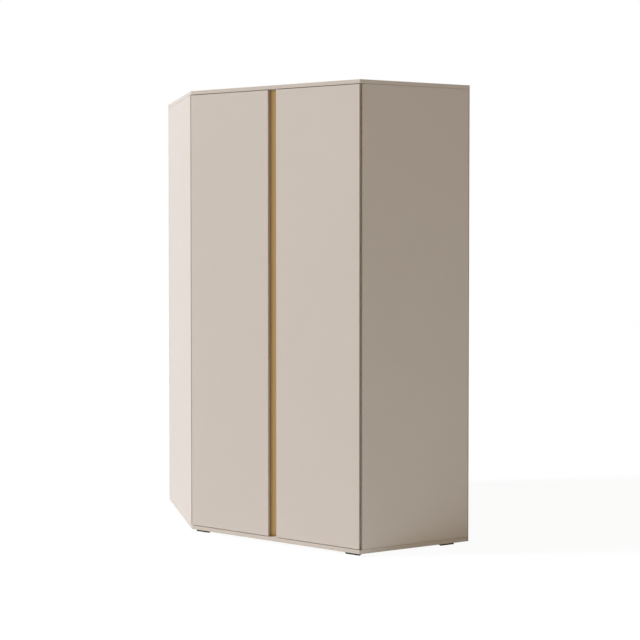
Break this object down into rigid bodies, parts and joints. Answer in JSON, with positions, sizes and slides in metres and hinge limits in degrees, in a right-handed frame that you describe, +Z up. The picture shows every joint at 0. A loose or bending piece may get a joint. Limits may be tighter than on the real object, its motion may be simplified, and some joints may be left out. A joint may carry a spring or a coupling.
{
  "type": "corner wardrobe",
  "caption": "Five-sided corner wardrobe with a diagonal front, two flat doors either side of a recessed metal grip strip, a hat shelf and a clothes rail inside.",
  "frame": {"origin": "on the floor, under the middle of the plan's bounding box", "axes": "+Z up; the doors face -Y; +X is to the right for someone who faces the doors; the room corner is at the +Y end"},
  "size_m": [1.6292, 1.1958, 2.1],
  "materials": {
    "carcass_laminate": "chipboard with a matte beige-grey laminate and matching edge bands",
    "door_laminate": "chipboard with a smooth satin-matte beige-grey laminate and matching edge bands",
    "back_board": "thin hardboard with a pale lacquered face",
    "gold_strip": "gold-coloured brushed anodised strip, satin",
    "hinge_steel": "nickel-plated pressed steel",
    "zinc_steel": "bent zinc-plated sheet steel",
    "chrome_rail": "polished chrome plating",
    "black_plastic": "moulded matte black plastic",
    "clear_rubber": "soft translucent pad"
  },
  "bodies": {
    "carcass": {"bottom_plate": "carcass_laminate", "top_plate": "carcass_laminate", "left_end_panel": "carcass_laminate", "right_end_panel": "carcass_laminate", "left_back_panel": "back_board", "right_back_panel": "back_board", "left_corner_stile": "carcass_laminate", "right_corner_stile": "carcass_laminate", "hat_shelf": "carcass_laminate", "centre_post": "carcass_laminate", "gold_strip": "gold_strip", "post_bracket_top": "zinc_steel", "post_bracket_bottom": "zinc_steel", "clothes_rail": "chrome_rail", "rail_hanger_left": "chrome_rail", "rail_hanger_middle": "chrome_rail", "rail_hanger_right": "chrome_rail", "corner_foot": "black_plastic", "shelf_support_front_left": "zinc_steel", "shelf_support_middle_left": "zinc_steel", "shelf_support_rear_left": "zinc_steel", "left_front_foot": "black_plastic", "left_rear_foot": "black_plastic", "left_bumper_lower": "clear_rubber", "left_bumper_upper": "clear_rubber", "left_hinge_plate_1": "hinge_steel", "left_hinge_plate_2": "hinge_steel", "left_hinge_plate_3": "hinge_steel", "left_hinge_plate_4": "hinge_steel", "left_hinge_arm_1": "hinge_steel", "left_hinge_arm_2": "hinge_steel", "left_hinge_arm_3": "hinge_steel", "left_hinge_arm_4": "hinge_steel", "shelf_support_front_right": "zinc_steel", "shelf_support_middle_right": "zinc_steel", "shelf_support_rear_right": "zinc_steel", "right_front_foot": "black_plastic", "right_rear_foot": "black_plastic", "right_bumper_lower": "clear_rubber", "right_bumper_upper": "clear_rubber", "right_hinge_plate_1": "hinge_steel", "right_hinge_plate_2": "hinge_steel", "right_hinge_plate_3": "hinge_steel", "right_hinge_plate_4": "hinge_steel", "right_hinge_arm_1": "hinge_steel", "right_hinge_arm_2": "hinge_steel", "right_hinge_arm_3": "hinge_steel", "right_hinge_arm_4": "hinge_steel"},
    "left_leaf": {"left_door": "door_laminate", "left_hinge_cup_1": "hinge_steel", "left_hinge_cup_2": "hinge_steel", "left_hinge_cup_3": "hinge_steel", "left_hinge_cup_4": "hinge_steel"},
    "right_leaf": {"right_door": "door_laminate", "right_hinge_cup_1": "hinge_steel", "right_hinge_cup_2": "hinge_steel", "right_hinge_cup_3": "hinge_steel", "right_hinge_cup_4": "hinge_steel"}
  },
  "joints": [
    {"name": "left_door_hinge", "type": "hinge", "parent": "carcass", "child": "left_leaf", "pos_m": [-0.43146, -0.59786, 1.0575], "axis": [0, 0, -1], "range_deg": [0, 105]},
    {"name": "right_door_hinge", "type": "hinge", "parent": "carcass", "child": "right_leaf", "pos_m": [0.43146, -0.59786, 1.0575], "axis": [0, 0, 1], "range_deg": [0, 105]}
  ]
}
